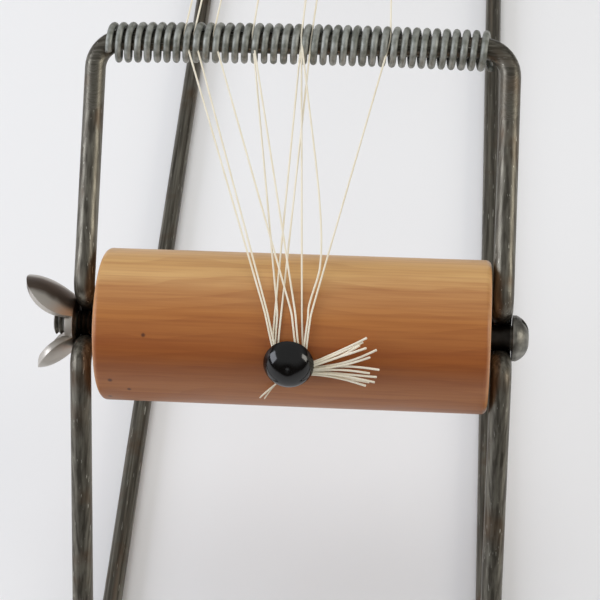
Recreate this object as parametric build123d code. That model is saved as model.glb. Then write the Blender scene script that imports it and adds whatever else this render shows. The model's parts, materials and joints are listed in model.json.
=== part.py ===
from build123d import *
import os
from math import acos, atan2, ceil, cos, degrees, floor, hypot, radians, sin, tan

# A bent-wire bead loom. X runs across it, Y along it and Z up; the table is z = 0.
# Both ends are alike: the far end is the near end turned half a turn about Z.
# Angles about the X axis are counted from +Y towards +Z. All sizes are millimetres.

# Wire frame
overall_length = 320.0       # over the two foot bends
side_spacing = 69.0          # between the centres of the two side wires
wire_d = 3.5
foot_bend_r = 8.0            # centreline radius where the base rail turns up
lower_leg_angle = 48.6       # rise of the leg from the foot to the axle notch
upper_leg_angle = 31.7       # rise of the leg from the notch to the raised bar
notch_angle = 26.0           # slope of the line that the axle notch is set square to
notch_shoulder = 4.8         # from the axle centre up to the notch's shoulders
shoulder_bend_r = 3.0
bar_bend_r = 4.8
axle_height = 58.45
bar_height = 87.05           # centre of the raised bar

# Roller and the machine screw that carries it
roller_d = 25.4
roller_play = 1.6            # how much shorter the roller is than its place in the frame
roller_end_gap = 0.25        # the roller stands this close to the right side wire
roller_edge_r = 1.0
screw_d = 4.17
screw_pitch = 0.79
screw_groove = 0.4           # depth of the thread grooves
threaded_length = 16.0
screw_point = 2.25           # screw end beyond the nut's plate
bore_gap = 0.1               # roller bore and axle notch around the screw, each side
seat_gap = 0.05              # screw head and nut plate off the side wires
head_d = 7.6
head_height = 2.6
head_rim = 0.6
slot_width = 1.1
slot_depth = 1.2
slot_turn = 62.0

# Wing nut: a pressed cup whose rim is notched into two leaf-shaped wings
nut_plate = 1.35
nut_foot_r = 4.2
nut_length = 7.4
nut_rim_r = 7.8
nut_wall = 1.3
nut_notch = 3.8              # width of the notch on the plate
nut_running_gap = 0.05
nut_turn = 47.0              # where the upper wing stands

# Coil spring that spaces the warp threads along the raised bar
spring_wire = 1.15
spring_pitch = 1.63
spring_bar_gap = 0.5         # radial play of the coils on the bar
spring_hang = 0.4            # the coils hang this much below the bar's centre
spring_end_setback = 2.7     # from a side wire's centre to the last coil

# Tack that holds the warp ends on a roller
tack_head_d = 8.1
tack_head_height = 2.3
tack_pin_d = 1.3
tack_pin_length = 9.0
tack_pin_gap = 0.02
tack_x = 0.6
near_tack_angle = 149.0
far_tack_angle = 309.0

# Warp
thread_d = 0.35
thread_gap = 0.05            # between a thread and what it lies on
layer_step = thread_d + thread_gap
thread_break = 0.5           # degrees between a free run and its wound part
pin_margin = 3.0             # degrees between a wound part's end and the tack's pin
inner_end_arc = 16.0         # degrees of the far roller that an inner end crosses

# Each thread: gap number and layer on the near bar, place and layer on the near
# roller, place under the near tack, gap number on the far bar, place on the far
# roller and place under the far tack. Gap 0 is the middle gap of the spring.
warp = [
    (-12, 0, -6.5, 0, -2.35, -7, -7.4, -3.95),
    (-11, 0, -6.0, 0, -1.90, -6, -6.2, -3.35),
    (-9, 0, -5.4, 0, -1.45, -4, -4.9, -2.75),
    (-5, 0, -2.5, 1, 1.60, -3, -3.6, -2.15),
    (-5, 1, -1.5, 1, 2.05, -2, -2.4, -1.60),
    (0, 0, -0.75, 0, -1.00, 0, 0.45, 0.35),
    (0, 1, 2.05, 1, 2.50, 1, 1.5, 0.90),
    (0, 2, 4.85, 1, 2.95, 2, 2.7, 1.50),
    (1, 0, 0.05, 0, -0.55, 4, 4.3, 2.10),
    (9, 0, 6.0, 1, 3.40, 6, 6.1, 2.75),
]

# Cut ends beyond the near tack: where each starts and ends, as X and an angle
# about the roller, and how high its tip stands off the wood.
cut_ends = [
    (4.9, 137.5, 10.9, 126.5, 1.6),
    (5.0, 139.6, 11.9, 129.8, 0.9),
    (5.1, 141.7, 13.3, 133.0, 2.2),
    (5.1, 143.8, 12.7, 136.4, 1.1),
    (5.2, 145.9, 14.6, 140.2, 2.6),
    (5.2, 148.0, 13.7, 143.8, 1.3),
    (5.2, 150.1, 14.9, 147.8, 2.0),
    (5.2, 152.2, 13.9, 151.8, 0.8),
    (5.1, 154.3, 14.2, 156.0, 1.7),
    (5.1, 156.4, 12.8, 159.8, 0.9),
    (5.0, 158.5, 13.1, 163.6, 1.9),
    (4.9, 160.6, 11.4, 167.4, 1.0),
    (-1.0, 166.0, -4.2, 179.3, 1.0),
]

wire_r = wire_d / 2
screw_r = screw_d / 2
roller_r = roller_d / 2
thread_r = thread_d / 2


def direction(angle):
    """Unit vector at an angle about X, from +Y towards +Z."""
    return Vector(0, cos(radians(angle)), sin(radians(angle)))


def bend_path(corners, radii):
    """Straight runs joined by tangent arcs, one radius for each inner corner."""
    edges = []
    start = corners[0]
    for before, corner, after, radius in zip(corners, corners[1:], corners[2:], radii):
        inward = (corner - before).normalized()
        onward = (after - corner).normalized()
        half_turn = radians(inward.get_angle(onward)) / 2
        setback = radius * tan(half_turn)
        arc_start = corner - inward * setback
        arc_end = corner + onward * setback
        to_centre = (onward - inward).normalized()
        centre = corner + to_centre * (radius / cos(half_turn))
        if (arc_start - start).length > 0.001:
            edges.append(Edge.make_line(start, arc_start))
        edges.append(Edge.make_three_point_arc(arc_start, centre - to_centre * radius, arc_end))
        start = arc_end
    edges.append(Edge.make_line(start, corners[-1]))
    return Wire(edges)


def tube(corners, radii, diameter):
    """Round wire or thread along a bent path."""
    path = bend_path(corners, radii)
    section = Plane(origin=path @ 0, z_dir=path % 0) * Circle(diameter / 2)
    return sweep(section, path=path)


def even_radii(corners):
    """As large a radius at each corner as its two runs leave room for."""
    radii = []
    for before, corner, after in zip(corners, corners[1:], corners[2:]):
        inward = corner - before
        onward = after - corner
        half_turn = radians(inward.get_angle(onward)) / 2
        radii.append(0.45 * min(inward.length, onward.length) / tan(half_turn))
    return radii


def far(shape):
    """The same shape at the far end."""
    return shape.rotate(Axis.Z, 180)


def far_vector(vector):
    return Vector(-vector.X, -vector.Y, vector.Z)


# Side profile of one end, worked back from the foot bend to the axle and the bar.
notch_r = screw_r + bore_gap + wire_r
notch_along = direction(notch_angle)
notch_out = direction(notch_angle + 90)
foot = Vector(0, -overall_length / 2 + wire_r + foot_bend_r, wire_r)
foot -= Vector(0, foot_bend_r / tan(radians(lower_leg_angle / 2)), 0)
lower_shoulder_z = axle_height + (notch_out * notch_shoulder - notch_along * notch_r).Z
lower_rise = lower_shoulder_z - wire_r
lower_shoulder = foot + direction(lower_leg_angle) * (lower_rise / sin(radians(lower_leg_angle)))
axle = lower_shoulder - notch_out * notch_shoulder + notch_along * notch_r
upper_shoulder = axle + notch_out * notch_shoulder + notch_along * notch_r
upper_rise = bar_height - upper_shoulder.Z
bar = upper_shoulder + direction(upper_leg_angle) * (upper_rise / sin(radians(upper_leg_angle)))
print("axle centre", round(axle.Y, 3), round(axle.Z, 3), "bar centre", round(bar.Y, 3), round(bar.Z, 3))


def side_wire(side):
    """One half of the frame, from the middle of the near bar to the middle of the far bar."""
    across = Vector(side * side_spacing / 2, 0, 0)
    lower_notch = axle - notch_out * notch_r - notch_along * notch_r
    upper_notch = axle - notch_out * notch_r + notch_along * notch_r
    profile = [bar, upper_shoulder, upper_notch, lower_notch, lower_shoulder, foot]
    radii = [bar_bend_r, shoulder_bend_r, notch_r, notch_r, shoulder_bend_r, foot_bend_r]
    near_half = [across + point for point in profile]
    far_half = [Vector(point.X, -point.Y, point.Z) for point in reversed(near_half)]
    middle_of_far_bar = Vector(0, -bar.Y, bar.Z)
    corners = [bar] + near_half + far_half + [middle_of_far_bar]
    return tube(corners, radii + radii[::-1], wire_d)


def spacing_spring():
    """Close left-hand coil, hung on the raised bar."""
    coils = floor((side_spacing - 2 * spring_end_setback) / spring_pitch)
    length = coils * spring_pitch
    coil_r = wire_r + spring_bar_gap + spring_wire / 2
    helix = Edge.make_helix(spring_pitch, length, coil_r, lefthand=True)
    section = Plane(origin=helix @ 0, z_dir=helix % 0) * Circle(spring_wire / 2)
    coil = sweep(section, path=helix, is_frenet=True)
    hung = bar - Vector(0, 0, spring_hang)
    top_at_x = Plane(origin=hung - Vector(length / 2, 0, 0), x_dir=(0, 0, 1), z_dir=(1, 0, 0))
    return top_at_x * coil


def roller(tack_angle):
    """Turned wooden roller, bored for the screw and pricked for the tack."""
    length = side_spacing - wire_d - roller_play
    shift = roller_play / 2 - roller_end_gap
    body = Cylinder(roller_r, length)
    body = fillet(body.edges().filter_by(GeomType.CIRCLE), roller_edge_r)
    body -= Cylinder(screw_r + bore_gap, 2 * length)
    body = Plane(origin=axle + Vector(shift, 0, 0), x_dir=(0, 1, 0), z_dir=(1, 0, 0)) * body
    hole_depth = roller_r + tack_head_lift - tack_pin_length - tack_pin_gap
    hole = Cylinder(tack_pin_d / 2 + tack_pin_gap, roller_r, align=(Align.CENTER, Align.CENTER, Align.MIN))
    return body - tack_plane(tack_angle, hole_depth) * hole


def screw():
    """Slotted round-head machine screw, head on the right and point on the left."""
    reach = side_spacing + wire_d + 2 * seat_gap + nut_plate + screw_point
    head_seat = side_spacing / 2 + wire_r + seat_gap
    groove_start = reach - threaded_length
    outline = [(0, 0), (screw_r, 0), (screw_r, groove_start)]
    turns = floor(threaded_length / screw_pitch)
    for turn in range(turns):
        crest = groove_start + turn * screw_pitch
        outline.append((screw_r - screw_groove, crest + screw_pitch / 2))
        outline.append((screw_r, crest + screw_pitch))
    outline += [(screw_r - screw_groove, reach), (0, reach)]
    shank = make_face(Polyline(*outline, close=True))
    dome_lip = (head_d / 2, -head_rim)
    dome_top = (0, -head_height)
    dome_bulge = (head_d / 2 * sin(radians(50)), -head_rim - (head_height - head_rim) * cos(radians(50)))
    head_edges = [
        Line((0, 0), (head_d / 2, 0)),
        Line((head_d / 2, 0), dome_lip),
        ThreePointArc(dome_lip, dome_bulge, dome_top),
        Line(dome_top, (0, 0)),
    ]
    head = make_face(head_edges)
    upright = Plane(origin=(0, 0, 0), x_dir=(1, 0, 0), z_dir=(0, -1, 0))
    solid = revolve(upright * shank, Axis.Z) + revolve(upright * head, Axis.Z)
    slot = Pos(0, 0, -head_height) * Box(2 * head_d, slot_width, 2 * slot_depth)
    solid -= slot
    return Plane(origin=axle + Vector(head_seat, 0, 0), x_dir=direction(slot_turn), z_dir=(-1, 0, 0)) * solid


def wing_nut():
    """Pressed cup nut on the left side wire, its rim cut into two wings."""
    bore_r = screw_r + nut_running_gap
    foot_in = nut_foot_r - 0.3
    lip_in = nut_rim_r - nut_wall
    cup_edges = [
        Line((bore_r, 0), (nut_foot_r, 0)),
        ThreePointArc((nut_foot_r, 0), (nut_foot_r + 2.3, nut_length * 0.4), (nut_rim_r, nut_length)),
        Line((nut_rim_r, nut_length), (lip_in, nut_length)),
        ThreePointArc((lip_in, nut_length), (foot_in + 1.45, nut_length * 0.48), (foot_in, nut_plate)),
        Line((foot_in, nut_plate), (bore_r, nut_plate)),
        Line((bore_r, nut_plate), (bore_r, 0)),
    ]
    upright = Plane(origin=(0, 0, 0), x_dir=(1, 0, 0), z_dir=(0, -1, 0))
    cup = revolve(upright * make_face(cup_edges), Axis.Z)
    half = nut_notch / 2
    rim_half = nut_rim_r + 0.4
    wing_bulge = (half + 1.8, nut_plate + 2.9)
    wing_tip = (rim_half, nut_length - 0.9)
    notch_edges = [
        Line((-half, nut_plate), (half, nut_plate)),
        ThreePointArc((half, nut_plate), wing_bulge, wing_tip),
        Line(wing_tip, (rim_half, 2 * nut_length)),
        Line((rim_half, 2 * nut_length), (-rim_half, 2 * nut_length)),
        Line((-rim_half, 2 * nut_length), (-wing_tip[0], wing_tip[1])),
        ThreePointArc((-wing_tip[0], wing_tip[1]), (-wing_bulge[0], wing_bulge[1]), (-half, nut_plate)),
    ]
    notch = extrude(upright * make_face(notch_edges), amount=2 * nut_rim_r, both=True)
    seat = -side_spacing / 2 - wire_r - seat_gap
    return Plane(origin=axle + Vector(seat, 0, 0), x_dir=direction(nut_turn), z_dir=(-1, 0, 0)) * (cup - notch)


# Under the tack's head lie two layers of thread.
tack_head_lift = thread_gap + 2 * layer_step


def tack_plane(tack_angle, height):
    """Plane square to a tack's pin, at a height above the roller's axis."""
    out = direction(tack_angle)
    return Plane(origin=axle + Vector(tack_x, 0, 0) + out * height, x_dir=(1, 0, 0), z_dir=out)


def tack(tack_angle):
    """Domed tack with a round, pointed pin."""
    head_r = tack_head_d / 2
    pin_r = tack_pin_d / 2
    dome_bulge = (head_r * sin(radians(48)), tack_head_height * cos(radians(48)))
    point_start = tack_pin_length - 2 * tack_pin_d
    edges = [
        Line((0, 0), (0, tack_head_height)),
        ThreePointArc((0, tack_head_height), dome_bulge, (head_r, 0)),
        Line((head_r, 0), (pin_r, 0)),
        Line((pin_r, 0), (pin_r, -point_start)),
        Line((pin_r, -point_start), (0, -tack_pin_length)),
        Line((0, -tack_pin_length), (0, 0)),
    ]
    upright = Plane(origin=(0, 0, 0), x_dir=(1, 0, 0), z_dir=(0, -1, 0))
    return tack_plane(tack_angle, roller_r + tack_head_lift) * revolve(upright * make_face(edges), Axis.Z)


def wound_r(layer):
    """Radius of a thread's centre on a roller."""
    return roller_r + thread_gap + thread_r + layer * layer_step


def bar_r(layer):
    """Radius of a thread's centre on a raised bar."""
    return wire_r + thread_gap + thread_r + layer * layer_step


def leaving_angle(roller_layer, bar_layer):
    """Angle on the roller where a thread leaves it for the bar."""
    between = bar - axle
    slope = degrees(atan2(between.Z, between.Y))
    difference = wound_r(roller_layer) - bar_r(bar_layer)
    return slope + degrees(acos(difference / hypot(between.Y, between.Z)))


def roller_point(x, angle, radius):
    return axle + Vector(x, 0, 0) + direction(angle) * radius


def bar_corner(x, roller_layer, bar_layer):
    """Where a thread's run up from the roller meets its level run, above the bar."""
    out = direction(leaving_angle(roller_layer, bar_layer))
    level = bar.Z + bar_r(bar_layer)
    along = (out.dot(axle) + wound_r(roller_layer) - out.Z * level) / out.Y
    return Vector(x, along, level)


def warp_thread(row):
    """One thread from roller to roller, over both bars."""
    gap, bar_layer, roller_x, roller_layer, _, far_gap, far_roller_x, _ = row
    near_angle = leaving_angle(roller_layer, bar_layer)
    far_angle = leaving_angle(1, bar_layer)
    corners = [
        roller_point(roller_x, near_angle, wound_r(roller_layer)),
        bar_corner(gap * spring_pitch, roller_layer, bar_layer),
        far_vector(bar_corner(-far_gap * spring_pitch, 1, bar_layer)),
        far_vector(roller_point(-far_roller_x, far_angle, wound_r(1))),
    ]
    return tube(corners, [bar_r(bar_layer)] * 2, thread_d)


def wound_thread(start_x, start_angle, end_x, end_angle, layer):
    """Thread lying on a roller between two angles, as short runs and tangent arcs."""
    pieces = ceil((end_angle - start_angle) / 12)
    step = (end_angle - start_angle) / pieces
    radius = wound_r(layer)
    corners = [roller_point(start_x, start_angle, radius)]
    for piece in range(pieces):
        share = (piece + 0.5) / pieces
        x = start_x + (end_x - start_x) * share
        corners.append(roller_point(x, start_angle + step * (piece + 0.5), radius / cos(radians(step / 2))))
    corners.append(roller_point(end_x, end_angle, radius))
    return tube(corners, even_radii(corners), thread_d)


def near_warp_ends():
    """The warp on the near roller, down to the tack, and its cut ends beyond the tack."""
    threads = []
    for row in warp:
        _, bar_layer, roller_x, roller_layer, pin_x, _, _, _ = row
        start = leaving_angle(roller_layer, bar_layer) + thread_break
        end = near_tack_angle - pin_margin
        threads.append(wound_thread(roller_x, start, pin_x, end, roller_layer))
    for start_x, start_angle, end_x, end_angle, lift in cut_ends:
        corners = [
            roller_point(start_x, start_angle, wound_r(0)),
            roller_point((start_x + end_x) / 2, (start_angle + end_angle) / 2, wound_r(0) + 0.3),
            roller_point(end_x, end_angle, wound_r(0) + lift),
        ]
        threads.append(tube(corners, even_radii(corners), thread_d))
    return threads


def far_warp_ends():
    """Spare warp on the far roller: a wound turn of each thread, and its end at the tack."""
    threads = []
    for row in warp:
        _, _, _, _, _, _, roller_x, pin_x = row
        turn_plane = Plane(origin=roller_point(-roller_x, 0, 0), z_dir=(1, 0, 0))
        end = far_tack_angle - pin_margin
        inner_end = wound_thread(-roller_x, end - inner_end_arc, -pin_x, end, 1)
        threads.append(far(turn_plane * Torus(wound_r(0), thread_r)))
        threads.append(far(inner_end))
    return threads


def save(name, shapes):
    solids = [solid for shape in shapes for solid in shape.solids()]
    part = Compound(children=solids) if len(solids) > 1 else solids[0]
    part.label = name
    export_step(part, "parts/" + name + ".step")
    print(name, len(solids), "solids", round(sum(solid.volume for solid in solids), 2), "mm3")


os.makedirs("parts", exist_ok=True)
save("frame_wire_left", [side_wire(-1)])
save("frame_wire_right", [side_wire(1)])
save("near_spring", [spacing_spring()])
save("near_roller", [roller(near_tack_angle)])
save("near_screw", [screw()])
save("near_wing_nut", [wing_nut()])
save("near_tack", [tack(near_tack_angle)])
save("far_spring", [far(spacing_spring())])
save("far_roller", [far(roller(far_tack_angle))])
save("far_screw", [far(screw())])
save("far_wing_nut", [far(wing_nut())])
save("far_tack", [far(tack(far_tack_angle))])
for number, row in enumerate(warp, 1):
    save("warp_thread_%02d" % number, [warp_thread(row)])
save("near_warp_ends", near_warp_ends())
save("far_warp_ends", far_warp_ends())
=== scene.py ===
import json
from math import acos, atan2, cos, hypot, pi, radians, sin

import bmesh
import bpy
from mathutils import Matrix, Vector, noise


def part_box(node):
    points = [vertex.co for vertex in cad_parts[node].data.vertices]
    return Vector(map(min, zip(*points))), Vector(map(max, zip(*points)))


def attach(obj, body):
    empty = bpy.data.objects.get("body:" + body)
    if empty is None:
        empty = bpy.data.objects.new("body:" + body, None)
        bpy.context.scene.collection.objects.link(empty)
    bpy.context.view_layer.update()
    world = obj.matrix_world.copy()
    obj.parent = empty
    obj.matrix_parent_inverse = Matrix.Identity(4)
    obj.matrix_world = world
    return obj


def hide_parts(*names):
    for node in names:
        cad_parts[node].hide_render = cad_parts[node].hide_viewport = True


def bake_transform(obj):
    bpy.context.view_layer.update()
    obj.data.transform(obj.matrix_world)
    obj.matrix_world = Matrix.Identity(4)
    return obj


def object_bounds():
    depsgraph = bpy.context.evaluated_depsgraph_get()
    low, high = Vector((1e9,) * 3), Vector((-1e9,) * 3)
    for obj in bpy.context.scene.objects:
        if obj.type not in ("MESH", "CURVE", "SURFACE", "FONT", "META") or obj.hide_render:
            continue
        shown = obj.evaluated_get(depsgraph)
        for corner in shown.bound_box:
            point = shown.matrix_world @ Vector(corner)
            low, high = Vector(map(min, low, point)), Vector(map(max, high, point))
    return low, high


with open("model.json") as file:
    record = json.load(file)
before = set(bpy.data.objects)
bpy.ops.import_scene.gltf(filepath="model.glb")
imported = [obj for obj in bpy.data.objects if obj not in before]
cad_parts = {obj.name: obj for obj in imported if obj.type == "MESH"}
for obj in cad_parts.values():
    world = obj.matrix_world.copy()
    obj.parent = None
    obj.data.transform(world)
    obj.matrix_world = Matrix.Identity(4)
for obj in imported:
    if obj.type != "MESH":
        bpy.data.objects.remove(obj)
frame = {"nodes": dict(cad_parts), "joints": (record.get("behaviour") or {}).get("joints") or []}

cad_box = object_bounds()

# ---------------------------------------------------------------------------
# The studio: a sheet of pale paper in a dim room, with a low window on each
# side, soft light from above, and the camera looking down at the near roller.
# ---------------------------------------------------------------------------
MM = 0.001
joints = {joint["name"]: joint for joint in frame["joints"]}
near_axle = Vector(joints["near_roller_turn"]["pos_m"])
far_axle = Vector(joints["far_roller_turn"]["pos_m"])
table_z = cad_box[0][2]


def colour(hex_code):
    """Linear RGBA of an sRGB hex colour."""
    channels = [int(hex_code[place:place + 2], 16) / 255 for place in (1, 3, 5)]
    linear = [c / 12.92 if c <= 0.04045 else ((c + 0.055) / 1.055) ** 2.4 for c in channels]
    return (*linear, 1.0)


def new_material(name):
    """An empty node material."""
    material = bpy.data.materials.new(name)
    material.use_nodes = True
    material.node_tree.nodes.clear()
    return material


def add(owner, kind, settings=None, links=None):
    """Adds one node, with its settings and with the outputs that feed its inputs."""
    node = owner.node_tree.nodes.new(kind)
    for name, value in (settings or {}).items():
        if isinstance(name, str) and hasattr(node, name):
            setattr(node, name, value)
        else:
            node.inputs[name].default_value = value
    for name, output in (links or {}).items():
        owner.node_tree.links.new(output, node.inputs[name])
    return node


def finish_material(material, shader):
    """Sends a shader to the material's surface."""
    add(material, "ShaderNodeOutputMaterial", {}, {"Surface": shader.outputs["BSDF"]})
    return material


def link_object(name, data):
    """Puts new data into the scene as a piece."""
    piece = bpy.data.objects.new(name, data)
    bpy.context.scene.collection.objects.link(piece)
    return piece


# Heavy matt paper: an even pale white with the faintest tooth.
PAPER_HEX = "#F1F1F2"
PAPER_TOOTH = MM / 0.9       # a little over a millimetre
FLOOR_HALF = 3.0             # metres, well past what any view takes in
paper = new_material("matt_paper")
paper_place = add(paper, "ShaderNodeTexCoord")
paper_tooth = add(paper, "ShaderNodeTexNoise", {"Scale": 1 / PAPER_TOOTH},
                  {"Vector": paper_place.outputs["Object"]})
paper_bump = add(paper, "ShaderNodeBump", {"Strength": 0.04, "Distance": 0.05 * MM},
                 {"Height": paper_tooth.outputs["Fac"]})
finish_material(paper, add(paper, "ShaderNodeBsdfPrincipled",
                           {"Base Color": colour(PAPER_HEX), "Roughness": 0.9},
                           {"Normal": paper_bump.outputs["Normal"]}))

floor_bm = bmesh.new()
bmesh.ops.create_grid(floor_bm, x_segments=1, y_segments=1, size=FLOOR_HALF,
                      matrix=Matrix.Translation((0, 0, table_z)))
floor_mesh = bpy.data.meshes.new("paper_floor")
floor_bm.to_mesh(floor_mesh)
floor_bm.free()
floor = link_object("paper_floor", floor_mesh)
floor_mesh.materials.append(paper)

# The room: a warm dark grey near the table, and light overhead.
world = bpy.data.worlds.new("dim_room")
bpy.context.scene.world = world
world.use_nodes = True
air_place = add(world, "ShaderNodeTexCoord")
air_split = add(world, "ShaderNodeSeparateXYZ", {}, {"Vector": air_place.outputs["Generated"]})
ceiling = add(world, "ShaderNodeMapRange",
              {"interpolation_type": "SMOOTHSTEP", "From Min": 0.12, "From Max": 0.62},
              {"Value": air_split.outputs["Z"]})
air_colour = add(world, "ShaderNodeMixRGB",
                 {"Color1": colour("#4C4743"), "Color2": colour("#B2B3B3")},
                 {"Fac": ceiling.outputs["Result"]})
air = world.node_tree.nodes["Background"]
world.node_tree.links.new(air_colour.outputs["Color"], air.inputs["Color"])
bpy.context.scene.view_settings.view_transform = "Standard"


def soft_box(name, direction, distance, width, height, power, hex_code):
    """A rectangular area light that faces the near roller."""
    light = bpy.data.lights.new(name, "AREA")
    light.shape = "RECTANGLE"
    light.size = width
    light.size_y = height
    light.energy = power
    light.color = colour(hex_code)[:3]
    lamp = link_object(name, light)
    outward = Vector(direction).normalized()
    lamp.location = near_axle + outward * distance
    lamp.rotation_euler = (-outward).to_track_quat("-Z", "Y").to_euler()
    return lamp


soft_box("left_window", (-0.92, -0.16, 0.40), 0.9, 0.70, 0.42, 4.3, "#F0F4FF")
soft_box("right_window", (0.94, -0.08, 0.38), 0.9, 0.30, 0.42, 2.3, "#FFFAF0")
overhead = soft_box("overhead", (-0.15, 0.45, 1.0), 1.3, 1.1, 1.1, 6.8, "#FFFFFF")
overhead.visible_glossy = False

# The camera looks down on the near roller from in front, a little from the right.
CAMERA_OFFSET = Vector((24.03, -167.22, 236.74)) * MM
CAMERA_AZIMUTH = radians(-7.63)
CAMERA_FALL = radians(53.52)
CAMERA_ROLL = radians(-4.13)
CAMERA_LENS = 104.96         # millimetres, on a sensor of the next width
CAMERA_SENSOR = 36.0
camera_data = bpy.data.cameras.new("camera")
camera_data.lens = CAMERA_LENS
camera_data.sensor_width = CAMERA_SENSOR
camera_data.clip_start = 0.01
camera = link_object("camera", camera_data)
camera.matrix_world = (
    Matrix.Translation(near_axle + CAMERA_OFFSET)
    @ Matrix.Rotation(-CAMERA_AZIMUTH, 4, "Z")
    @ Matrix.Rotation(pi / 2 - CAMERA_FALL, 4, "X")
    @ Matrix.Rotation(CAMERA_ROLL, 4, "Z")
)
bpy.context.scene.camera = camera

# ---------------------------------------------------------------------------
# The frame: two lengths of drawn steel wire, 3.5 mm thick, bent cold round
# pegs, whose ends meet inside the springs. The wire has oxidised to a dark
# olive brown, streaked along its length, and is scratched bright in places.
# ---------------------------------------------------------------------------
LEG_SLOPE = radians(40)      # between the two slopes of the legs
RAIL_TOP = 6 * MM            # the wire that lies on the table is below this height
BAR_LEVEL = 84 * MM          # and the raised bars are above this one
LEVEL_BLEND = 2 * MM         # half the height over which the streaks change direction
STREAK_WIDTH = 0.55 * MM
STREAK_LENGTH = 16 * MM
SCRATCH_WIDTH = 0.22 * MM
SCRATCH_LENGTH = 5 * MM
RUST_PATCH = 7 * MM


def above(material, height_output, level):
    """1 above a level, 0 below it, changing over a few millimetres."""
    step = add(material, "ShaderNodeMapRange",
               {"From Min": level - LEVEL_BLEND, "From Max": level + LEVEL_BLEND},
               {"Value": height_output})
    return step.outputs["Result"]


def along_wire(material, width, length):
    """Object coordinates stretched along the rails, the legs and the raised bars."""
    place = add(material, "ShaderNodeTexCoord")
    split = add(material, "ShaderNodeSeparateXYZ", {}, {"Vector": place.outputs["Object"]})
    # both ends of the loom slope alike, so the far half reads as the near half does
    distance = add(material, "ShaderNodeMath", {"operation": "ABSOLUTE"}, {0: split.outputs["Y"]})
    folded = add(material, "ShaderNodeCombineXYZ", {}, {
        "X": split.outputs["X"],
        "Y": distance.outputs["Value"],
        "Z": split.outputs["Z"],
    })
    lengthways = (1 / width, 1 / length, 1 / width)
    crossways = (1 / length, 1 / width, 1 / width)
    rail = add(material, "ShaderNodeMapping", {"Scale": lengthways},
               {"Vector": folded.outputs["Vector"]})
    sloped = add(material, "ShaderNodeMapping", {"Rotation": (LEG_SLOPE, 0, 0)},
                 {"Vector": folded.outputs["Vector"]})
    leg = add(material, "ShaderNodeMapping", {"Scale": lengthways},
              {"Vector": sloped.outputs["Vector"]})
    raised = add(material, "ShaderNodeMapping", {"Scale": crossways},
                 {"Vector": folded.outputs["Vector"]})
    lower = add(material, "ShaderNodeMixRGB", {}, {
        "Fac": above(material, split.outputs["Z"], RAIL_TOP),
        "Color1": rail.outputs["Vector"],
        "Color2": leg.outputs["Vector"],
    })
    return add(material, "ShaderNodeMixRGB", {}, {
        "Fac": above(material, split.outputs["Z"], BAR_LEVEL),
        "Color1": lower.outputs["Color"],
        "Color2": raised.outputs["Vector"],
    })


# Oxidised drawn wire: a dull brown-black metal with lighter lines drawn along it.
wire_steel = new_material("oxidised_drawn_steel")
streak_place = along_wire(wire_steel, STREAK_WIDTH, STREAK_LENGTH)
streaks = add(wire_steel, "ShaderNodeTexNoise", {"Scale": 1.0, "Detail": 3.0},
              {"Vector": streak_place.outputs["Color"]})
streak_mask = add(wire_steel, "ShaderNodeMapRange", {"From Min": 0.38, "From Max": 0.66},
                  {"Value": streaks.outputs["Fac"]})
streaked = add(wire_steel, "ShaderNodeMixRGB",
               {"Color1": colour("#524E46"), "Color2": colour("#7F7B70")},
               {"Fac": streak_mask.outputs["Result"]})
wire_place = add(wire_steel, "ShaderNodeTexCoord")
patches = add(wire_steel, "ShaderNodeTexNoise", {"Scale": 1 / RUST_PATCH, "Detail": 4.0},
              {"Vector": wire_place.outputs["Object"]})
patch_mask = add(wire_steel, "ShaderNodeMapRange",
                 {"From Min": 0.54, "From Max": 0.70, "To Max": 0.5},
                 {"Value": patches.outputs["Fac"]})
rusted = add(wire_steel, "ShaderNodeMixRGB", {"Color2": colour("#5E4A38")},
             {"Fac": patch_mask.outputs["Result"], "Color1": streaked.outputs["Color"]})
scratch_place = along_wire(wire_steel, SCRATCH_WIDTH, SCRATCH_LENGTH)
scratches = add(wire_steel, "ShaderNodeTexNoise", {"Scale": 1.0, "Detail": 2.0},
                {"Vector": scratch_place.outputs["Color"]})
scratch_mask = add(wire_steel, "ShaderNodeMapRange", {"From Min": 0.69, "From Max": 0.74},
                   {"Value": scratches.outputs["Fac"]})
scratched = add(wire_steel, "ShaderNodeMixRGB", {"Color2": colour("#C9C6BA")},
                {"Fac": scratch_mask.outputs["Result"], "Color1": rusted.outputs["Color"]})
wire_rough = add(wire_steel, "ShaderNodeMapRange", {"To Min": 0.30, "To Max": 0.50},
                 {"Value": patches.outputs["Fac"]})
wire_bump = add(wire_steel, "ShaderNodeBump", {"Strength": 0.25, "Distance": 0.04 * MM},
                {"Height": streaks.outputs["Fac"]})
finish_material(wire_steel, add(wire_steel, "ShaderNodeBsdfPrincipled", {"Metallic": 0.9}, {
    "Base Color": scratched.outputs["Color"],
    "Roughness": wire_rough.outputs["Result"],
    "Normal": wire_bump.outputs["Normal"],
}))


def finish_nodes(material, *names):
    """Gives carried-over nodes their finish."""
    for name in names:
        data = frame["nodes"][name].data
        data.materials.clear()
        data.materials.append(material)


finish_nodes(wire_steel, "frame_wire_left", "frame_wire_right")

# ---------------------------------------------------------------------------
# The springs: close left-hand coils of galvanised wire, cut off square and
# hung on the raised bars, so that each gap between two coils takes a thread.
# ---------------------------------------------------------------------------
SPRING_WIRE_R = 0.575 * MM
SPRING_COIL_R = 2.825 * MM
SPRING_PITCH = 1.63 * MM
SPRING_TURNS = 38.85
SPRING_START = -32.12 * MM   # the left cut end of the near spring
SPRING_START_ANGLE = radians(165)
SPRING_STEPS = 36            # steps in one turn
SPRING_WANDER = 0.09 * MM    # how far a coil strays from its even spacing
ZINC_SPANGLE = 1.4 * MM
ZINC_GRAIN = 0.25 * MM
SPRING_BOW = 0.3 * MM        # how far the middle stands up and back from the ends
half_turn = Matrix.Rotation(pi, 4, "Z")


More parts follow.
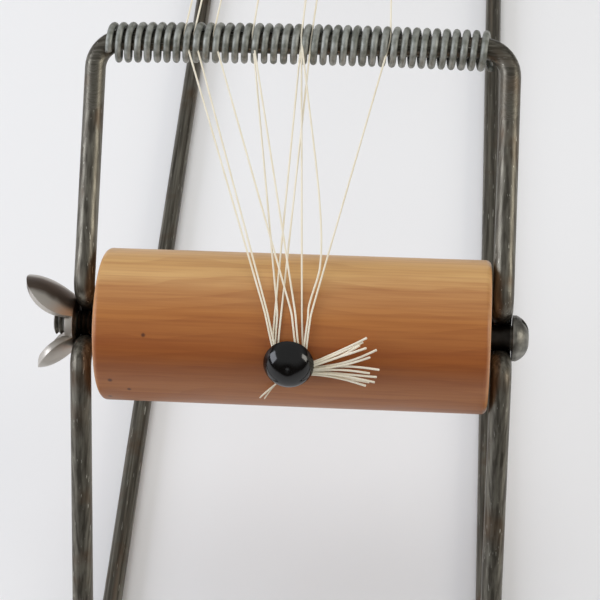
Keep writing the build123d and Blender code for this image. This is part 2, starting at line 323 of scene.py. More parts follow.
def coil_centre(node):
    """Middle of a packed spring."""
    low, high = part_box(node)
    return (low + high) / 2


def new_mesh(name, bm):
    """Closes a bmesh into a mesh with outward, smooth faces."""
    bmesh.ops.recalc_face_normals(bm, faces=bm.faces)
    mesh = bpy.data.meshes.new(name)
    bm.to_mesh(mesh)
    bm.free()
    mesh.shade_smooth()
    return mesh


def spring_mesh(name, seed):
    """The near spring, wound about its own axis at the near bar."""
    centre = coil_centre("near_spring")
    bm = bmesh.new()
    placed = (
        Matrix.Translation((SPRING_START, centre.y, centre.z))
        @ Matrix.Rotation(SPRING_START_ANGLE, 4, "X")
        @ Matrix.Translation((0, SPRING_COIL_R, 0))
    )
    bmesh.ops.create_circle(bm, cap_ends=True, segments=12, radius=SPRING_WIRE_R, matrix=placed)
    steps = round(SPRING_TURNS * SPRING_STEPS)
    wound = bmesh.ops.spin(
        bm, geom=bm.edges[:], cent=centre, axis=(1, 0, 0),
        dvec=(SPRING_PITCH / SPRING_STEPS, 0, 0), angle=-2 * pi * SPRING_TURNS, steps=steps)
    last_edges = [part for part in wound["geom_last"] if isinstance(part, bmesh.types.BMEdge)]
    bmesh.ops.contextual_create(bm, geom=last_edges)
    for vertex in bm.verts:
        turn = (vertex.co.x - SPRING_START) / SPRING_PITCH
        from_middle = (turn / SPRING_TURNS - 0.5) * 2
        vertex.co.z += SPRING_BOW * (1 - from_middle ** 2)
        vertex.co.y -= SPRING_BOW * from_middle ** 2
        vertex.co.x += SPRING_WANDER * noise.noise(Vector((turn * 0.8, seed, 0)))
    return new_mesh(name, bm)


# Galvanised wire: a dull mid grey, finely mottled, with hardly any shine.
galvanised = new_material("galvanised_spring_wire")
galvanised_place = add(galvanised, "ShaderNodeTexCoord")
mottle = add(galvanised, "ShaderNodeTexNoise", {"Scale": 1 / ZINC_SPANGLE, "Detail": 4.0},
             {"Vector": galvanised_place.outputs["Object"]})
mottle_mask = add(galvanised, "ShaderNodeMapRange", {"From Min": 0.35, "From Max": 0.65},
                  {"Value": mottle.outputs["Fac"]})
mottled = add(galvanised, "ShaderNodeMixRGB",
              {"Color1": colour("#7D7F77"), "Color2": colour("#AFB1AB")},
              {"Fac": mottle_mask.outputs["Result"]})
zinc_grain = add(galvanised, "ShaderNodeTexNoise", {"Scale": 1 / ZINC_GRAIN, "Detail": 3.0},
                 {"Vector": galvanised_place.outputs["Object"]})
zinc_bump = add(galvanised, "ShaderNodeBump", {"Strength": 0.35, "Distance": 0.03 * MM},
                {"Height": zinc_grain.outputs["Fac"]})
finish_material(galvanised, add(galvanised, "ShaderNodeBsdfPrincipled",
                                {"Metallic": 0.55, "Roughness": 0.55},
                                {"Base Color": mottled.outputs["Color"],
                                 "Normal": zinc_bump.outputs["Normal"]}))

for end, turned, seed in (("near", Matrix.Identity(4), 1.5), ("far", half_turn, 7.5)):
    coil = link_object(end + "_spacing_spring", spring_mesh(end + "_spacing_spring", seed))
    coil.data.transform(turned)
    coil.data.materials.append(galvanised)
    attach(coil, "frame")
    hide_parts(end + "_spring")

# ---------------------------------------------------------------------------
# The rollers: one-inch dowel of a reddish pine, turned, sanded and varnished,
# and bored through for the screw. Painted shade darkens the varnish colour low down.
# ---------------------------------------------------------------------------
GRAIN_WIDTH = 0.5 * MM
GRAIN_LENGTH = 22 * MM
RING_SPACING = 2.3 * MM
RING_TILT = radians(52)
RING_SWAY = 3.2              # how many rings a grain line strays across
SWAY_WIDTH = 9 * MM
SWAY_LENGTH = 30 * MM
BLOTCH_WIDTH = 5 * MM
BLOTCH_LENGTH = 26 * MM
ROLLER_R = 12.7 * MM
ROLLER_MIDDLE = 0.55 * MM    # the nut's end has the wider gap
ROLLER_HALF = 31.95 * MM
# painted light: the side that the ramp below paints paler, as if lit
PAINTED_LIT_SIDE = radians(62)     # the paler side, counted from +Y towards +Z
# Share of the way down from the pale side, and the varnish colour there, which carries painted
# shade.
VARNISH_AND_SHADE_TONES = [
    (0.11, "#D4A86E"),
    (0.20, "#BA834C"),
    (0.36, "#B47235"),
    (0.60, "#A45C24"),
    (0.82, "#9A5824"),
    (0.95, "#AC6C38"),
]
# X of a pin knot, its angle round the near roller and its radius, in mm and degrees.
PIN_KNOTS = [
    (-22.9, 132.7, 0.45),
    (-28.7, 171.5, 0.50),
    (-25.8, 181.7, 0.45),
    (-29.4, 195.6, 0.45),
]


def on_roller(x, degrees_round, side):
    """A point of a roller's surface, from its axle; the far roller is turned half round."""
    turned = radians(degrees_round)
    return Vector((x * MM * side, ROLLER_R * cos(turned) * side, ROLLER_R * sin(turned)))


def varnished_pine(name, axle, side):
    """Varnished pine: warm tan to red-brown, darker low down with painted shade, fine grain along
    the dowel, satin gloss.
    """
    pine = new_material(name)
    place = add(pine, "ShaderNodeTexCoord")
    from_axle = add(pine, "ShaderNodeVectorMath", {"operation": "SUBTRACT", 1: axle},
                    {0: place.outputs["Object"]})
    centred = from_axle.outputs["Vector"]
    # growth rings, cut almost flat and swaying from side to side
    bend = add(pine, "ShaderNodeMapping",
               {"Scale": (1 / SWAY_LENGTH, 1 / SWAY_WIDTH, 1 / SWAY_WIDTH)}, {"Vector": centred})
    sway = add(pine, "ShaderNodeTexNoise", {"Scale": 1.0, "Detail": 2.0},
               {"Vector": bend.outputs["Vector"]})
    turned = add(pine, "ShaderNodeMapping", {"Rotation": (RING_TILT * side, 0, 0)},
                 {"Vector": centred})
    split = add(pine, "ShaderNodeSeparateXYZ", {}, {"Vector": turned.outputs["Vector"]})
    layers = add(pine, "ShaderNodeMath", {"operation": "DIVIDE", 1: RING_SPACING},
                 {0: split.outputs["Z"]})
    swayed = add(pine, "ShaderNodeMath", {"operation": "MULTIPLY_ADD", 1: RING_SWAY},
                 {0: sway.outputs["Fac"], 2: layers.outputs["Value"]})
    ring = add(pine, "ShaderNodeMath", {"operation": "FRACT"}, {0: swayed.outputs["Value"]})
    late_wood = add(pine, "ShaderNodeMapRange",
                    {"interpolation_type": "SMOOTHSTEP", "From Min": 0.45, "From Max": 0.95},
                    {"Value": ring.outputs["Value"]})
    # fine grain along the dowel, and broader blotches of stain
    fine_place = add(pine, "ShaderNodeMapping",
                     {"Scale": (1 / GRAIN_LENGTH, 1 / GRAIN_WIDTH, 1 / GRAIN_WIDTH)},
                     {"Vector": centred})
    fine = add(pine, "ShaderNodeTexNoise", {"Scale": 1.0, "Detail": 5.0, "Roughness": 0.62},
               {"Vector": fine_place.outputs["Vector"]})
    blotch_place = add(pine, "ShaderNodeMapping",
                       {"Scale": (1 / BLOTCH_LENGTH, 1 / BLOTCH_WIDTH, 1 / BLOTCH_WIDTH)},
                       {"Vector": centred})
    blotch = add(pine, "ShaderNodeTexNoise", {"Scale": 1.0, "Detail": 3.0},
                 {"Vector": blotch_place.outputs["Vector"]})
    # painted shade: the varnish colour darkens from the pale side down, as if lit from above
    painted_lit_way = (0, cos(PAINTED_LIT_SIDE) * side, sin(PAINTED_LIT_SIDE))
    height = add(pine, "ShaderNodeVectorMath", {"operation": "DOT_PRODUCT", 1: painted_lit_way},
                 {0: centred})
    painted_shade_lowness = add(pine, "ShaderNodeMapRange",
                  {"From Min": ROLLER_R, "From Max": -0.55 * ROLLER_R},
                  {"Value": height.outputs["Value"]})
    shade_and_blotch = add(pine, "ShaderNodeMath", {"operation": "MULTIPLY_ADD", 1: 0.16},
                 {0: blotch.outputs["Fac"], 2: painted_shade_lowness.outputs["Result"]})
    body = add(pine, "ShaderNodeValToRGB", {}, {"Fac": shade_and_blotch.outputs["Value"]})
    tones = body.color_ramp.elements
    for element, (share, tone) in ((tones[0], VARNISH_AND_SHADE_TONES[0]), (tones[1], VARNISH_AND_SHADE_TONES[-1])):
        element.position = share
        element.color = colour(tone)
    for share, tone in VARNISH_AND_SHADE_TONES[1:-1]:
        tones.new(share).color = colour(tone)
    line_depth = add(pine, "ShaderNodeMath", {"operation": "MULTIPLY", 1: 0.15},
                     {0: late_wood.outputs["Result"]})
    ringed = add(pine, "ShaderNodeMixRGB", {"blend_type": "MULTIPLY", "Color2": colour("#B4703C")},
                 {"Fac": line_depth.outputs["Value"], "Color1": body.outputs["Color"]})
    fine_mask = add(pine, "ShaderNodeMapRange",
                    {"From Min": 0.40, "From Max": 0.75, "To Max": 0.32},
                    {"Value": fine.outputs["Fac"]})
    grained = add(pine, "ShaderNodeMixRGB", {"blend_type": "MULTIPLY", "Color2": colour("#A8683C")},
                  {"Fac": fine_mask.outputs["Result"], "Color1": ringed.outputs["Color"]})
    last = grained
    for x, degrees_round, size in PIN_KNOTS:
        knot = on_roller(x, degrees_round, side)
        from_knot = add(pine, "ShaderNodeVectorMath", {"operation": "DISTANCE", 1: knot},
                        {0: centred})
        spot = add(pine, "ShaderNodeMapRange",
                   {"From Min": size * MM, "From Max": 0.4 * size * MM, "To Max": 0.85},
                   {"Value": from_knot.outputs["Value"]})
        last = add(pine, "ShaderNodeMixRGB", {"Color2": colour("#4A2414")},
                   {"Fac": spot.outputs["Result"], "Color1": last.outputs["Color"]})
    # bare sanded wood shows at the edges of the ends
    along = add(pine, "ShaderNodeSeparateXYZ", {}, {"Vector": centred})
    off_middle = add(pine, "ShaderNodeMath", {"operation": "SUBTRACT", 1: ROLLER_MIDDLE * side},
                     {0: along.outputs["X"]})
    reach = add(pine, "ShaderNodeMath", {"operation": "ABSOLUTE"}, {0: off_middle.outputs["Value"]})
    sanded = add(pine, "ShaderNodeMapRange", {
        "From Min": ROLLER_HALF - 0.6 * MM,
        "From Max": ROLLER_HALF - 0.1 * MM,
        "To Max": 0.5,
    }, {"Value": reach.outputs["Value"]})
    last = add(pine, "ShaderNodeMixRGB", {"Color2": colour("#DFA670")},
               {"Fac": sanded.outputs["Result"], "Color1": last.outputs["Color"]})
    bump = add(pine, "ShaderNodeBump", {"Strength": 0.12, "Distance": 0.05 * MM},
               {"Height": fine.outputs["Fac"]})
    gloss = add(pine, "ShaderNodeMapRange", {"To Min": 0.34, "To Max": 0.52},
                {"Value": blotch.outputs["Fac"]})
    return finish_material(pine, add(pine, "ShaderNodeBsdfPrincipled",
                                     {"Coat Weight": 0.08, "Coat Roughness": 0.25},
                                     {"Base Color": last.outputs["Color"],
                                      "Roughness": gloss.outputs["Result"],
                                      "Normal": bump.outputs["Normal"]}))


finish_nodes(varnished_pine("varnished_pine_near", near_axle, 1), "near_roller")
finish_nodes(varnished_pine("varnished_pine_far", far_axle, -1), "far_roller")

# ---------------------------------------------------------------------------
# The machine screws: round slotted heads on the right of the near end, points
# on the left, zinc plated and gone dull, with painted shade blackening them inside the frame.
# ---------------------------------------------------------------------------
FRAME_FACE = 36.2 * MM       # the outer faces of the side wires, from the middle
ZINC_CLOUD = 1.8 * MM
zinc_plate = new_material("dull_zinc_plate")
zinc_place = add(zinc_plate, "ShaderNodeTexCoord")
zinc_clouds = add(zinc_plate, "ShaderNodeTexNoise", {"Scale": 1 / ZINC_CLOUD, "Detail": 5.0},
                  {"Vector": zinc_place.outputs["Object"]})
zinc_mask = add(zinc_plate, "ShaderNodeMapRange", {"From Min": 0.36, "From Max": 0.66},
                {"Value": zinc_clouds.outputs["Fac"]})
zinc_colour = add(zinc_plate, "ShaderNodeMixRGB",
                  {"Color1": colour("#5F5D57"), "Color2": colour("#98968E")},
                  {"Fac": zinc_mask.outputs["Result"]})
zinc_split = add(zinc_plate, "ShaderNodeSeparateXYZ", {}, {"Vector": zinc_place.outputs["Object"]})
zinc_reach = add(zinc_plate, "ShaderNodeMath", {"operation": "ABSOLUTE"},
                 {0: zinc_split.outputs["X"]})
# painted shade: inside the frame the screw is painted near black, for the shadow between roller and
# frame
shank_painted_shade = add(zinc_plate, "ShaderNodeMapRange",
                 {"From Min": FRAME_FACE, "From Max": FRAME_FACE - 0.4 * MM, "To Max": 0.9},
                 {"Value": zinc_reach.outputs["Value"]})
zinc_with_painted_shade = add(zinc_plate, "ShaderNodeMixRGB", {"Color2": colour("#191512")},
                   {"Fac": shank_painted_shade.outputs["Result"], "Color1": zinc_colour.outputs["Color"]})
zinc_rough = add(zinc_plate, "ShaderNodeMapRange", {"To Min": 0.32, "To Max": 0.52},
                 {"Value": zinc_clouds.outputs["Fac"]})
finish_material(zinc_plate, add(zinc_plate, "ShaderNodeBsdfPrincipled", {"Metallic": 0.9}, {
    "Base Color": zinc_with_painted_shade.outputs["Color"], "Roughness": zinc_rough.outputs["Result"]}))
finish_nodes(zinc_plate, "near_screw", "far_screw")

# ---------------------------------------------------------------------------
# The wing nuts: pressed from 1.3 mm sheet into a cup and notched, so that two
# leaf-shaped wings stand up from a round foot. Nickel plated, with a painted dark reflection in
# brown across each wing.
# ---------------------------------------------------------------------------
NUT_BORE_R = 2.135 * MM
NUT_FOOT_R = 4.2 * MM
NUT_FOOT_RINGS = (2.8 * MM, 3.5 * MM, NUT_FOOT_R)
NUT_SHEET = 1.3 * MM
NUT_EDGE_ROUND = 0.3 * MM
NUT_EDGE_ANGLE = radians(40)
NUT_UPPER_WING = 8.3 * MM    # from the seat to the tip of the wing that stands up
NUT_LOWER_WING = 6.4 * MM    # the other one has been bent in and is worn shorter
NUT_TIP_ROUND = 0.12         # how much lower a wing is at its two corners
NUT_RIM_R = 7.8 * MM
NUT_NOTCH_HALF = 1.9 * MM
NUT_NOTCH_TIP = 6.6 * MM     # half the width across the notch at the rim
NUT_FLARE = 0.9              # below 1, a wing spreads fastest at its foot
NUT_TAPER = 1.7              # above 1, a wing narrows fastest at its tip
NUT_TURN = radians(47)
# The next three place the painted dark reflection band over each wing.
REFLECTION_BAND_TURN = radians(68)   # the middle of the browned band
REFLECTION_BAND_CLOUD = 3.2 * MM
REFLECTION_BAND_STRAY = 1.6 * MM     # how far the band's edge strays
NICKEL_GRAIN = 0.3 * MM
WING_ROWS = 12
RIM_SEGMENTS = 72
nut_seat = Vector(joints["near_nut_turn"]["pos_m"])


def wing_row(share):
    """Outer radius and notch half-width, at a share of the way up a wing."""
    radius = NUT_FOOT_R + (NUT_RIM_R - NUT_FOOT_R) * sin(share * pi / 2) ** NUT_FLARE
    opening = NUT_NOTCH_HALF + (NUT_NOTCH_TIP - NUT_NOTCH_HALF) * share ** NUT_TAPER
    return radius, opening


def wing_nut_mesh(name):
    """A nut about +Z, its foot on z = 0 and its wings at +X and -X."""
    bm = bmesh.new()
    bmesh.ops.create_circle(bm, cap_ends=False, segments=RIM_SEGMENTS, radius=NUT_BORE_R)
    rim = bm.edges[:]
    for radius in NUT_FOOT_RINGS:
        grown = bmesh.ops.extrude_edge_only(bm, edges=rim)["geom"]
        rim = [part for part in grown if isinstance(part, bmesh.types.BMEdge)]
        for vertex in {vertex for edge in rim for vertex in edge.verts}:
            vertex.co = vertex.co.normalized() * radius
    # the angle of a vertex on the foot decides where it stands across its wing
    foot_opening = atan2(NUT_NOTCH_HALF, NUT_FOOT_R * cos(NUT_NOTCH_HALF / NUT_FOOT_R))
    for side, length in ((0, NUT_UPPER_WING), (pi, NUT_LOWER_WING)):
        wing = []
        for edge in rim:
            middle = (edge.verts[0].co + edge.verts[1].co) / 2
            turned = (atan2(middle.y, middle.x) - side + pi) % (2 * pi) - pi
            if abs(turned) < pi / 2 - foot_opening:
                wing.append(edge)
        base_angles = {}
        for vertex in {vertex for edge in wing for vertex in edge.verts}:
            base_angles[vertex] = (atan2(vertex.co.y, vertex.co.x) - side + pi) % (2 * pi) - pi
        widest = max(abs(angle) for angle in base_angles.values())
        for row in range(1, WING_ROWS + 1):
            radius, opening = wing_row(row / WING_ROWS)
            reach = acos(min(0.999, opening / radius))
            grown = bmesh.ops.extrude_edge_only(bm, edges=wing)["geom"]
            wing = [part for part in grown if isinstance(part, bmesh.types.BMEdge)]
            raised = {}
            for vertex in [part for part in grown if isinstance(part, bmesh.types.BMVert)]:
                below = [edge.other_vert(vertex) for edge in vertex.link_edges
                         if edge.other_vert(vertex) in base_angles]
                raised[vertex] = base_angles[below[0]]
            for vertex, angle in raised.items():
                stand = side + angle / widest * reach
                height = length * row / WING_ROWS * (1 - NUT_TIP_ROUND * (angle / widest) ** 2)
                vertex.co = Vector((radius * cos(stand), radius * sin(stand), height))
            base_angles = raised
    return new_mesh(name, bm)


def nickel_with_painted_reflection(name, axle, side):
    """Nickel plate: warm light grey, with a painted dark reflection in brown over each wing."""
    nickel = new_material(name)
    place = add(nickel, "ShaderNodeTexCoord")
    clouds = add(nickel, "ShaderNodeTexNoise", {"Scale": 1 / REFLECTION_BAND_CLOUD, "Detail": 5.0},
                 {"Vector": place.outputs["Object"]})
    from_axle = add(nickel, "ShaderNodeVectorMath", {"operation": "SUBTRACT", 1: axle},
                    {0: place.outputs["Object"]})
    over_band = (0, -sin(REFLECTION_BAND_TURN) * side, cos(REFLECTION_BAND_TURN))
    across = add(nickel, "ShaderNodeVectorMath", {"operation": "DOT_PRODUCT", 1: over_band},
                 {0: from_axle.outputs["Vector"]})
    distance = add(nickel, "ShaderNodeMath", {"operation": "ABSOLUTE"},
                   {0: across.outputs["Value"]})
    wavy = add(nickel, "ShaderNodeMath", {"operation": "MULTIPLY_ADD", 1: REFLECTION_BAND_STRAY},
               {0: clouds.outputs["Fac"], 2: distance.outputs["Value"]})
    # painted reflection: a dark brown band across each wing
    reflection_band = add(nickel, "ShaderNodeMapRange", {
        "interpolation_type": "SMOOTHSTEP",
        "From Min": 3.6 * MM,
        "From Max": 2.2 * MM,
        "To Max": 0.9,
    }, {"Value": wavy.outputs["Value"]})
    reflection_brown = add(nickel, "ShaderNodeMixRGB",
                {"Color1": colour("#C4BEB5"), "Color2": colour("#5A4A3E")},
                {"Fac": reflection_band.outputs["Result"]})
    grain = add(nickel, "ShaderNodeTexNoise", {"Scale": 1 / NICKEL_GRAIN, "Detail": 3.0},
                {"Vector": place.outputs["Object"]})
    bump = add(nickel, "ShaderNodeBump", {"Strength": 0.15, "Distance": 0.02 * MM},
               {"Height": grain.outputs["Fac"]})
    return finish_material(nickel, add(nickel, "ShaderNodeBsdfPrincipled",
                                       {"Metallic": 0.9, "Roughness": 0.4},
                                       {"Base Color": reflection_brown.outputs["Color"],
                                        "Normal": bump.outputs["Normal"]}))


# +Z of the nut points out along -X, and its upper wing stands at NUT_TURN
out_of_frame = Matrix((
    (0, 0, -1),
    (cos(NUT_TURN), -sin(NUT_TURN), 0),
    (sin(NUT_TURN), cos(NUT_TURN), 0),
)).to_4x4()
for end, turned, axle, side in (
    ("near", Matrix.Identity(4), near_axle, 1),
    ("far", half_turn, far_axle, -1),
):
    nut = link_object(end + "_pressed_wing_nut", wing_nut_mesh(end + "_pressed_wing_nut"))
    nut.data.transform(turned @ Matrix.Translation(nut_seat) @ out_of_frame)
    nut.data.flip_normals()
    wall = nut.modifiers.new("sheet", "SOLIDIFY")
    wall.thickness = NUT_SHEET
    wall.offset = -1
    rounding = nut.modifiers.new("rolled_edges", "BEVEL")
    rounding.width = NUT_EDGE_ROUND
    rounding.segments = 3
    rounding.limit_method = "ANGLE"
    rounding.angle_limit = NUT_EDGE_ANGLE
    nut.data.materials.append(nickel_with_painted_reflection("nickel_with_painted_reflection_" + end, axle, side))
    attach(nut, end + "_nut")
    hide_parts(end + "_wing_nut")

# ---------------------------------------------------------------------------
# The tacks: steel, domed, japanned a deep gloss black, pushed into the wood
# over the ends of the warp.
# ---------------------------------------------------------------------------
ENAMEL_RIPPLE = 1.1 * MM
japan = new_material("black_japan_enamel")
japan_place = add(japan, "ShaderNodeTexCoord")
japan_haze = add(japan, "ShaderNodeTexNoise", {"Scale": 1 / ENAMEL_RIPPLE, "Detail": 4.0},
                 {"Vector": japan_place.outputs["Object"]})
japan_rough = add(japan, "ShaderNodeMapRange", {"To Min": 0.07, "To Max": 0.17},
                  {"Value": japan_haze.outputs["Fac"]})
japan_bump = add(japan, "ShaderNodeBump", {"Strength": 0.06, "Distance": 0.03 * MM},
                 {"Height": japan_haze.outputs["Fac"]})
finish_material(japan, add(japan, "ShaderNodeBsdfPrincipled",
                           {"Base Color": colour("#070606")},
                           {"Roughness": japan_rough.outputs["Result"],
                            "Normal": japan_bump.outputs["Normal"]}))
finish_nodes(japan, "near_tack", "far_tack")

# ---------------------------------------------------------------------------
# The warp: ten cotton threads, waxed, held under a tack on each roller. They
# cross both bars between the coils; the spare length is wound on the far roller.
# ---------------------------------------------------------------------------
THREAD_R = 0.155 * MM
THREAD_GAP = 0.05 * MM
LAYER_STEP = 0.4 * MM        # from a thread to the one wound over it
BAR_R = 1.75 * MM
SPRING_HANG = 0.4 * MM
NEAR_TACK_ANGLE = 149.0      # degrees about an axle, as all the angles below are
FAR_TACK_ANGLE = 309.0
PIN_MARGIN = 3.0             # a thread goes under the tack's head this far from its pin
INNER_END_ARC = 16.0         # and its inner end on the far roller starts this far before
CORNER_REACH = 1.6 * MM      # straight thread resumes this far from the bar's top
RING_STEP = 8                # between the control points of a whole turn
bar = coil_centre("near_spring") + Vector((0, 0, SPRING_HANG))
bar.x = 0

# Gap number and layer on the near bar, place and layer on the near roller, place
# under the near tack, then gap number, roller place and tack place at the far end.
WARP = [
    (-12, 0, -3.45, 1, -1.50, -7, -7.4, -3.95),
    (-11, 0, -3.05, 1, -1.10, -6, -6.2, -3.35),
    (-9, 0, 0.85, 1, 2.00, -4, -4.9, -2.75),
    (-5, 0, -1.42, 0, -1.75, -3, -3.6, -2.15),
    (-5, 1, 1.45, 1, 2.40, -2, -2.4, -1.60),
    (0, 0, -1.85, 0, -2.15, 0, 0.45, 0.35),
    (0, 1, 2.47, 0, 2.95, 1, 1.5, 0.90),
    (0, 2, 3.55, 1, 2.80, 2, 2.7, 1.50),
    (1, 0, -0.83, 0, -1.30, 4, 4.3, 2.10),
    (9, 0, 3.95, 1, 3.20, 6, 6.1, 2.75),
]
SLACK_THREAD = 8             # this one is loose, and bows towards the next one
SLACK_BOW = 3.2 * MM
SLACK_PLACE = 0.78           # share of the way down from the bar where it bows most
COTTON_SHADE = 4 * MM
COTTON_FIBRE = 0.12 * MM
# Cut ends beyond the near tack: X of the tip, its angle, its lift, and its curl in degrees.
CUT_ENDS = [
    (13.0, 128.2, 2.4, -1.2),
    (12.4, 131.0, 1.5, -0.8),
    (11.9, 133.0, 2.0, 1.0),
    (13.0, 133.8, 2.6, -1.4),
    (14.6, 134.8, 2.8, 1.8),
    (13.6, 139.8, 1.8, 1.2),
    (15.1, 147.2, 2.4, -2.2),
    (13.6, 150.8, 1.4, -1.6),
    (14.7, 152.8, 2.0, 0.6),
    (14.4, 156.8, 1.5, -0.8),
    (13.5, 160.0, 0.8, 0.6),
    (13.0, 161.2, 1.0, -1.2),
]
FAN_START = (3.4, 150.0, 156.5)      # X under the tack's edge, and the first and last angle
FAN_R = 0.18 * MM
# The one end that comes out below the tack has opened into finer fibres.
FRAYED_TIPS = [
    (-4.2, 178.5, 1.0, 1.0),
    (-3.5, 180.5, 0.8, -1.2),
    (-3.9, 175.0, 1.3, 0.6),
]
FRAY_START = (-0.6, 164.0)
FRAY_R = 0.1 * MM
TAIL_STEPS = 6
TAIL_RISE = 1.6              # above 1, a cut end lies flat at first and then lifts
TAIL_SWING = 1.15            # above 1, it sets off straight and then swings round


def wound_r(layer):
    """Radius of a thread's centre on a roller."""
    return ROLLER_R + THREAD_GAP + THREAD_R + layer * LAYER_STEP


def bar_thread_r(layer):
    """Radius of a thread's centre on a raised bar."""
    return BAR_R + THREAD_GAP + THREAD_R + layer * LAYER_STEP


def way(degrees_round):
    """Unit vector at an angle about X, from +Y towards +Z."""
    return Vector((0, cos(radians(degrees_round)), sin(radians(degrees_round))))


def leaving_angle(roller_layer, bar_layer):
    """Angle on the near roller where a thread leaves it for the bar, in degrees."""
    between = bar - near_axle
    drop = wound_r(roller_layer) - bar_thread_r(bar_layer)
    return (atan2(between.z, between.y) + acos(drop / hypot(between.y, between.z))) / radians(1)


def roller_point(x, degrees_round, radius):
    """A place about the near axle: X in millimetres, angle in degrees."""
    return near_axle + Vector((x * MM, 0, 0)) + way(degrees_round) * radius


def bar_corner(x, roller_layer, bar_layer):
    """Where the run up from the near roller meets the level run over the bar."""
    out = way(leaving_angle(roller_layer, bar_layer))
    level = bar.z + bar_thread_r(bar_layer)
    along = (out.dot(near_axle) + wound_r(roller_layer) - out.z * level) / out.y
    return Vector((x, along, level))


def wound_points(start_x, start, end_x, end, radius, step=3.0):
    """Control points of a thread lying on the near roller between two angles."""
    count = round((end - start) / step)
    spread = (end - start) / count
    corner_r = radius / cos(radians(spread / 2))
    points = []
    for place in range(count):
        share = (place + 0.5) / count
        x = start_x + (end_x - start_x) * share
        points.append(roller_point(x, start + (end - start) * share, corner_r))
    return points + [roller_point(end_x, end, radius)]


def rounded(before, corner, after):
    """A corner of a thread, with a point close by on each of its two runs."""
    inward = (before - corner).normalized() * CORNER_REACH
    onward = (after - corner).normalized() * CORNER_REACH
    return [corner + inward, corner, corner + onward]


def thread_mesh(name, points, radius, closed=False):
    """A round thread along a smooth line through its control points."""
    curve = bpy.data.curves.new(name, "CURVE")
    curve.dimensions = "3D"
    spline = curve.splines.new("NURBS")
    spline.points.add(len(points) - 1)
    for control, point in zip(spline.points, points):
        control.co = (*point, 1)
    spline.order_u = 3
    spline.use_endpoint_u = not closed
    spline.use_cyclic_u = closed
    spline.resolution_u = 6
    curve.bevel_depth = radius
    curve.bevel_resolution = 2
    curve.use_fill_caps = True
    line = link_object(name + "_line", curve)
    depsgraph = bpy.context.evaluated_depsgraph_get()
    mesh = bpy.data.meshes.new_from_object(line.evaluated_get(depsgraph))
    mesh.name = name
    bpy.data.objects.remove(line)
    mesh.shade_smooth()
    return mesh


# Waxed cotton: cream, softly shaded along its length, with a nap of fine fibres.
cotton = new_material("waxed_cotton_thread")
cotton_place = add(cotton, "ShaderNodeTexCoord")
cotton_tone = add(cotton, "ShaderNodeTexNoise", {"Scale": 1 / COTTON_SHADE, "Detail": 3.0},
                  {"Vector": cotton_place.outputs["Object"]})
cotton_colour = add(cotton, "ShaderNodeMixRGB",
                    {"Color1": colour("#FBF6E8"), "Color2": colour("#EADDBE")},
                    {"Fac": cotton_tone.outputs["Fac"]})
cotton_fibre = add(cotton, "ShaderNodeTexNoise", {"Scale": 1 / COTTON_FIBRE, "Detail": 2.0},
                   {"Vector": cotton_place.outputs["Object"]})
cotton_bump = add(cotton, "ShaderNodeBump", {"Strength": 0.5, "Distance": 0.05 * MM},
                  {"Height": cotton_fibre.outputs["Fac"]})
finish_material(cotton, add(cotton, "ShaderNodeBsdfPrincipled",
                            {"Roughness": 0.7, "Sheen Weight": 0.2},
                            {"Base Color": cotton_colour.outputs["Color"],
                             "Normal": cotton_bump.outputs["Normal"]}))


def far_point(point):
    """The same place at the far end."""
    return half_turn @ point


pin_angle = NEAR_TACK_ANGLE - PIN_MARGIN
for number, row in enumerate(WARP, 1):
    gap, bar_layer, roller_x, roller_layer, pin_x, far_gap, far_x, far_pin_x = row
    near_leave = leaving_angle(roller_layer, bar_layer)
    far_leave = leaving_angle(1, bar_layer)
    near_top = bar_corner(gap * SPRING_PITCH, roller_layer, bar_layer)
    far_top = far_point(bar_corner(-far_gap * SPRING_PITCH, 1, bar_layer))
    near_foot = roller_point(roller_x, near_leave, wound_r(roller_layer))
    far_foot = far_point(roller_point(-far_x, far_leave, wound_r(1)))
    before_foot = near_foot + (near_top - near_foot).normalized() * CORNER_REACH
    route = [far_foot]
    route += rounded(far_foot, far_top, near_top)
    route += rounded(far_top, near_top, near_foot)
    if number == SLACK_THREAD:
        bowed = near_top.lerp(near_foot, SLACK_PLACE)
        route += [bowed + Vector((SLACK_BOW, 0, 0))]
    route += [before_foot]
    route += wound_points(roller_x, near_leave, pin_x, pin_angle, wound_r(roller_layer))
    name = "warp_cotton_%02d" % number
    piece = link_object(name, thread_mesh(name, route, THREAD_R))
    piece.data.materials.append(cotton)
    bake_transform(piece)
    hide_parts("warp_thread_%02d" % number)


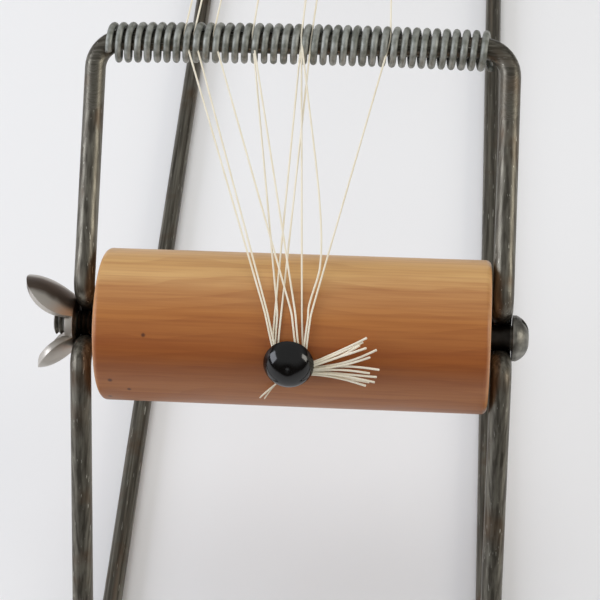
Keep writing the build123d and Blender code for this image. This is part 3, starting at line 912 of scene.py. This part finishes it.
def joined(name, meshes):
    """Several meshes as one."""
    bm = bmesh.new()
    for mesh in meshes:
        bm.from_mesh(mesh)
    for mesh in meshes:
        bpy.data.meshes.remove(mesh)
    whole = bpy.data.meshes.new(name)
    bm.to_mesh(whole)
    bm.free()
    whole.shade_smooth()
    return whole


def tail_mesh(start_x, start, layer, tip, radius):
    """A cut end that rises from the roller towards its tip, with a slight curl."""
    tip_x, tip_angle, lift, curl = tip
    points = []
    for place in range(TAIL_STEPS + 1):
        share = place / TAIL_STEPS
        rise = THREAD_GAP + radius + layer * LAYER_STEP + lift * MM * share ** TAIL_RISE
        x = start_x + (tip_x - start_x) * share
        angle = start + (tip_angle - start) * share ** TAIL_SWING + curl * sin(share * pi)
        points.append(roller_point(x, angle, ROLLER_R + rise))
    return thread_mesh("tail", points, radius)


fan_x, fan_first, fan_last = FAN_START
tails = []
for place, tip in enumerate(CUT_ENDS):
    start = fan_first + (fan_last - fan_first) * place / (len(CUT_ENDS) - 1)
    tails.append(tail_mesh(fan_x, start, place % 2, tip, FAN_R))
for tip in FRAYED_TIPS:
    tails.append(tail_mesh(*FRAY_START, 0, tip, FRAY_R))
cut_tails = link_object("near_cut_ends", joined("near_cut_ends", tails))
cut_tails.data.materials.append(cotton)
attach(cut_tails, "near_winder")
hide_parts("near_warp_ends")

# The spare warp is shaped about the near axle, and then turned round to the far one.
end = FAR_TACK_ANGLE - PIN_MARGIN
start = end - INNER_END_ARC
corner_r = wound_r(0) / cos(radians(RING_STEP / 2))
turns = []
for *_, far_x, far_pin_x in WARP:
    ring_points = [roller_point(-far_x, angle, corner_r) for angle in range(0, 360, RING_STEP)]
    turns.append(thread_mesh("turn", ring_points, THREAD_R, closed=True))
    inner_end = [roller_point(-far_x, start, wound_r(1))]
    inner_end += wound_points(-far_x, start, -far_pin_x, end, wound_r(1))
    turns.append(thread_mesh("inner_end", inner_end, THREAD_R))
spare_warp = link_object("far_spare_warp", joined("far_spare_warp", turns))
spare_warp.data.transform(half_turn)
spare_warp.data.materials.append(cotton)
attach(spare_warp, "far_winder")
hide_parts("far_warp_ends")
